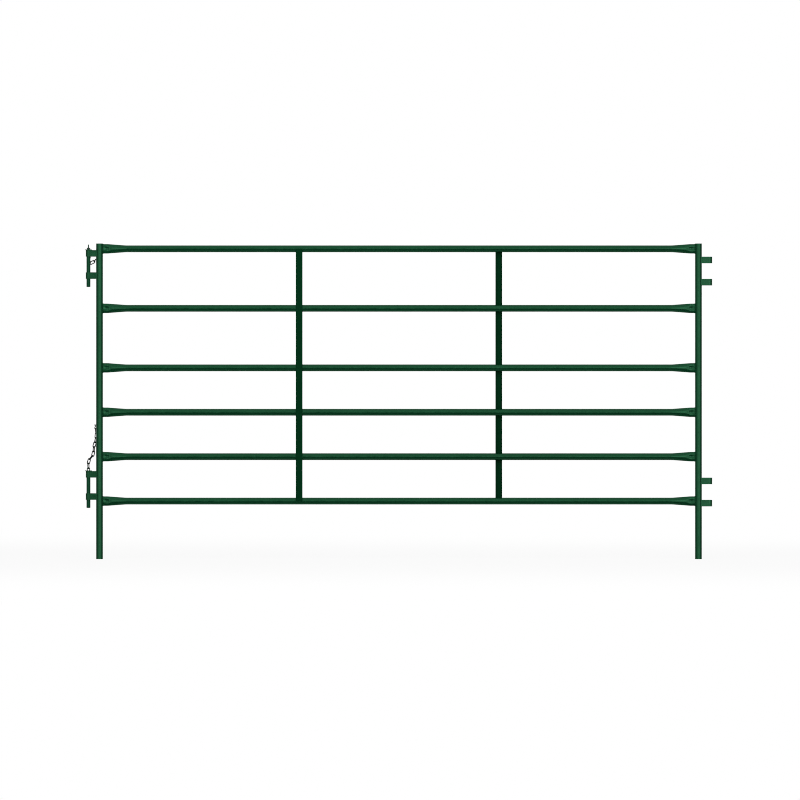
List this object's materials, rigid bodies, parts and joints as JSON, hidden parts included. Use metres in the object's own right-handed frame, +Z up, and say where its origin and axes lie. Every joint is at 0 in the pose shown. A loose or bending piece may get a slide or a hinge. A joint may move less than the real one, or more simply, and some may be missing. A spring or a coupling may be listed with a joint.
{
  "type": "livestock corral panel",
  "caption": "Tubular steel corral panel with flattened rail ends, channel stays, strap loops and chained drop pins that link it to the next panel.",
  "frame": {"origin": "on the ground, midway between the axes of the two legs", "axes": "+X along the panel towards the leg with the bare loops, -Y to the front, +Z up"},
  "size_m": [3.03, 0.0548, 1.524],
  "materials": {
    "leg_coat": "satin green powder coat on steel tube",
    "rail_coat": "satin green powder coat on steel tube",
    "stay_coat": "satin green powder coat on folded steel",
    "strap_coat": "satin green powder coat on steel strap",
    "pin_coat": "green powder coat, rubbed, on steel bar",
    "chain_steel": "dark coated steel wire"
  },
  "bodies": {
    "panel": {"left_leg": "leg_coat", "right_leg": "leg_coat", "rail_1": "rail_coat", "rail_2": "rail_coat", "rail_3": "rail_coat", "rail_4": "rail_coat", "rail_5": "rail_coat", "rail_6": "rail_coat", "front_stay": "stay_coat", "rear_stay": "stay_coat", "pin_loop_1": "strap_coat", "pin_loop_2": "strap_coat", "pin_loop_3": "strap_coat", "pin_loop_4": "strap_coat", "bare_loop_1": "strap_coat", "bare_loop_2": "strap_coat", "bare_loop_3": "strap_coat", "bare_loop_4": "strap_coat", "lower_chain_staple": "chain_steel", "upper_chain_lug": "chain_steel"},
    "upper_pin": {"upper_pin": "pin_coat", "upper_pin_washer": "pin_coat", "upper_pin_eye": "chain_steel", "upper_link_01": "chain_steel"},
    "lower_pin": {"lower_pin": "pin_coat", "lower_pin_washer": "pin_coat", "lower_pin_eye": "chain_steel"},
    "lower_link_01": {"lower_link_01": "chain_steel"},
    "lower_link_02": {"lower_link_02": "chain_steel"},
    "lower_link_03": {"lower_link_03": "chain_steel"},
    "lower_link_04": {"lower_link_04": "chain_steel"},
    "lower_link_05": {"lower_link_05": "chain_steel"},
    "lower_link_06": {"lower_link_06": "chain_steel"},
    "lower_link_07": {"lower_link_07": "chain_steel"},
    "lower_link_08": {"lower_link_08": "chain_steel"},
    "lower_link_09": {"lower_link_09": "chain_steel"},
    "lower_link_10": {"lower_link_10": "chain_steel"},
    "upper_link_02": {"upper_link_02": "chain_steel"},
    "upper_link_03": {"upper_link_03": "chain_steel"},
    "upper_link_04": {"upper_link_04": "chain_steel"},
    "upper_link_05": {"upper_link_05": "chain_steel"},
    "upper_link_06": {"upper_link_06": "chain_steel"},
    "upper_link_07": {"upper_link_07": "chain_steel"},
    "upper_link_08": {"upper_link_08": "chain_steel"},
    "upper_link_09": {"upper_link_09": "chain_steel"}
  },
  "joints": [
    {"name": "upper_pin_lift", "type": "slide", "parent": "panel", "child": "upper_pin", "axis": [0, 0, 1], "range_m": [0, 0.15]},
    {"name": "lower_pin_lift", "type": "slide", "parent": "panel", "child": "lower_pin", "axis": [0, 0, 1], "range_m": [0, 0.15]},
    {"name": "lower_link_01_swing", "type": "hinge", "parent": "lower_pin", "child": "lower_link_01", "pos_m": [-1.49998, 0, 0.4353], "axis": [-0.4924, 0.8704, 0], "range_deg": [0, 11.95]},
    {"name": "lower_link_02_swing", "type": "hinge", "parent": "lower_link_01", "child": "lower_link_02", "pos_m": [-1.50041, -0.00024, 0.46385], "axis": [-0.4924, 0.8704, 0], "range_deg": [0, 48.65]},
    {"name": "lower_link_03_swing", "type": "hinge", "parent": "lower_link_02", "child": "lower_link_03", "pos_m": [-1.4957, 0.00242, 0.48049], "axis": [-0.4924, 0.8704, 0], "range_deg": [0, 75.85]},
    {"name": "lower_link_04_swing", "type": "hinge", "parent": "lower_link_03", "child": "lower_link_04", "pos_m": [-1.47968, 0.01148, 0.50037], "axis": [-0.4924, 0.8704, 0], "range_deg": [-74.05, 0]},
    {"name": "lower_link_05_swing", "type": "hinge", "parent": "lower_link_04", "child": "lower_link_05", "pos_m": [-1.47581, 0.01367, 0.5173], "axis": [-0.4924, 0.8704, 0], "range_deg": [-31.25, 0]},
    {"name": "lower_link_06_swing", "type": "hinge", "parent": "lower_link_05", "child": "lower_link_06", "pos_m": [-1.4738, 0.01481, 0.5443], "axis": [-0.4924, 0.8704, 0], "range_deg": [0, 10.95]},
    {"name": "lower_link_07_swing", "type": "hinge", "parent": "lower_link_06", "child": "lower_link_07", "pos_m": [-1.46937, 0.01732, 0.56105], "axis": [-0.4924, 0.8704, 0], "range_deg": [-29.35, 0]},
    {"name": "lower_link_08_swing", "type": "hinge", "parent": "lower_link_07", "child": "lower_link_08", "pos_m": [-1.46406, 0.02032, 0.58745], "axis": [-0.4924, 0.8704, 0], "range_deg": [-68.95, 0]},
    {"name": "lower_link_09_swing", "type": "hinge", "parent": "lower_link_08", "child": "lower_link_09", "pos_m": [-1.46221, 0.02137, 0.60482], "axis": [-0.4924, 0.8704, 0], "range_deg": [-92.55, 0]},
    {"name": "lower_link_10_swing", "type": "hinge", "parent": "lower_link_09", "child": "lower_link_10", "pos_m": [-1.46528, 0.01963, 0.63169], "axis": [-0.4924, 0.8704, 0], "range_deg": [0, 80.25]},
    {"name": "upper_link_02_swing", "type": "hinge", "parent": "upper_pin", "child": "upper_link_02", "pos_m": [-1.49998, 0.02758, 1.49991], "axis": [0, 1, 0], "range_deg": [0, 7.45]},
    {"name": "upper_link_03_swing", "type": "hinge", "parent": "upper_link_02", "child": "upper_link_03", "pos_m": [-1.50045, 0.02758, 1.47281], "axis": [0, 1, 0], "range_deg": [0, 5.35]},
    {"name": "upper_link_04_swing", "type": "hinge", "parent": "upper_link_03", "child": "upper_link_04", "pos_m": [-1.49844, 0.02758, 1.45543], "axis": [0, 1, 0], "range_deg": [0, 12.25]},
    {"name": "upper_link_05_swing", "type": "hinge", "parent": "upper_link_04", "child": "upper_link_05", "pos_m": [-1.49074, 0.02758, 1.42945], "axis": [0, 1, 0], "range_deg": [0, 76.35]},
    {"name": "upper_link_06_swing", "type": "hinge", "parent": "upper_link_05", "child": "upper_link_06", "pos_m": [-1.47498, 0.02758, 1.43706], "axis": [0, 1, 0], "range_deg": [0, 8.35]},
    {"name": "upper_link_07_swing", "type": "hinge", "parent": "upper_link_06", "child": "upper_link_07", "pos_m": [-1.45756, 0.02758, 1.45782], "axis": [0, 1, 0], "range_deg": [-9.15, 0]},
    {"name": "upper_link_08_swing", "type": "hinge", "parent": "upper_link_07", "child": "upper_link_08", "pos_m": [-1.44339, 0.02758, 1.46809], "axis": [0, 1, 0], "range_deg": [0, 6.75]},
    {"name": "upper_link_09_swing", "type": "hinge", "parent": "upper_link_08", "child": "upper_link_09", "pos_m": [-1.43878, 0.02758, 1.49479], "axis": [0, 1, 0], "range_deg": [-34.75, 0]}
  ],
  "couplings": [
    {"joint": "lower_link_01_swing", "follows": "lower_pin_lift", "rad_per_m": 1.3846},
    {"joint": "lower_link_02_swing", "follows": "lower_pin_lift", "rad_per_m": 5.6549},
    {"joint": "lower_link_03_swing", "follows": "lower_pin_lift", "rad_per_m": 8.8197},
    {"joint": "lower_link_04_swing", "follows": "lower_pin_lift", "rad_per_m": -8.6103},
    {"joint": "lower_link_05_swing", "follows": "lower_pin_lift", "rad_per_m": -3.6303},
    {"joint": "lower_link_06_swing", "follows": "lower_pin_lift", "rad_per_m": 1.2683},
    {"joint": "lower_link_07_swing", "follows": "lower_pin_lift", "rad_per_m": -3.4092},
    {"joint": "lower_link_08_swing", "follows": "lower_pin_lift", "rad_per_m": -8.0169},
    {"joint": "lower_link_09_swing", "follows": "lower_pin_lift", "rad_per_m": -10.763},
    {"joint": "lower_link_10_swing", "follows": "lower_pin_lift", "rad_per_m": 9.3317},
    {"joint": "upper_link_02_swing", "follows": "upper_pin_lift", "rad_per_m": 0.86103},
    {"joint": "upper_link_03_swing", "follows": "upper_pin_lift", "rad_per_m": 0.61668},
    {"joint": "upper_link_04_swing", "follows": "upper_pin_lift", "rad_per_m": 1.4195},
    {"joint": "upper_link_05_swing", "follows": "upper_pin_lift", "rad_per_m": 8.8779},
    {"joint": "upper_link_06_swing", "follows": "upper_pin_lift", "rad_per_m": 0.96575},
    {"joint": "upper_link_07_swing", "follows": "upper_pin_lift", "rad_per_m": -1.0588},
    {"joint": "upper_link_08_swing", "follows": "upper_pin_lift", "rad_per_m": 0.77958},
    {"joint": "upper_link_09_swing", "follows": "upper_pin_lift", "rad_per_m": -4.0375}
  ]
}
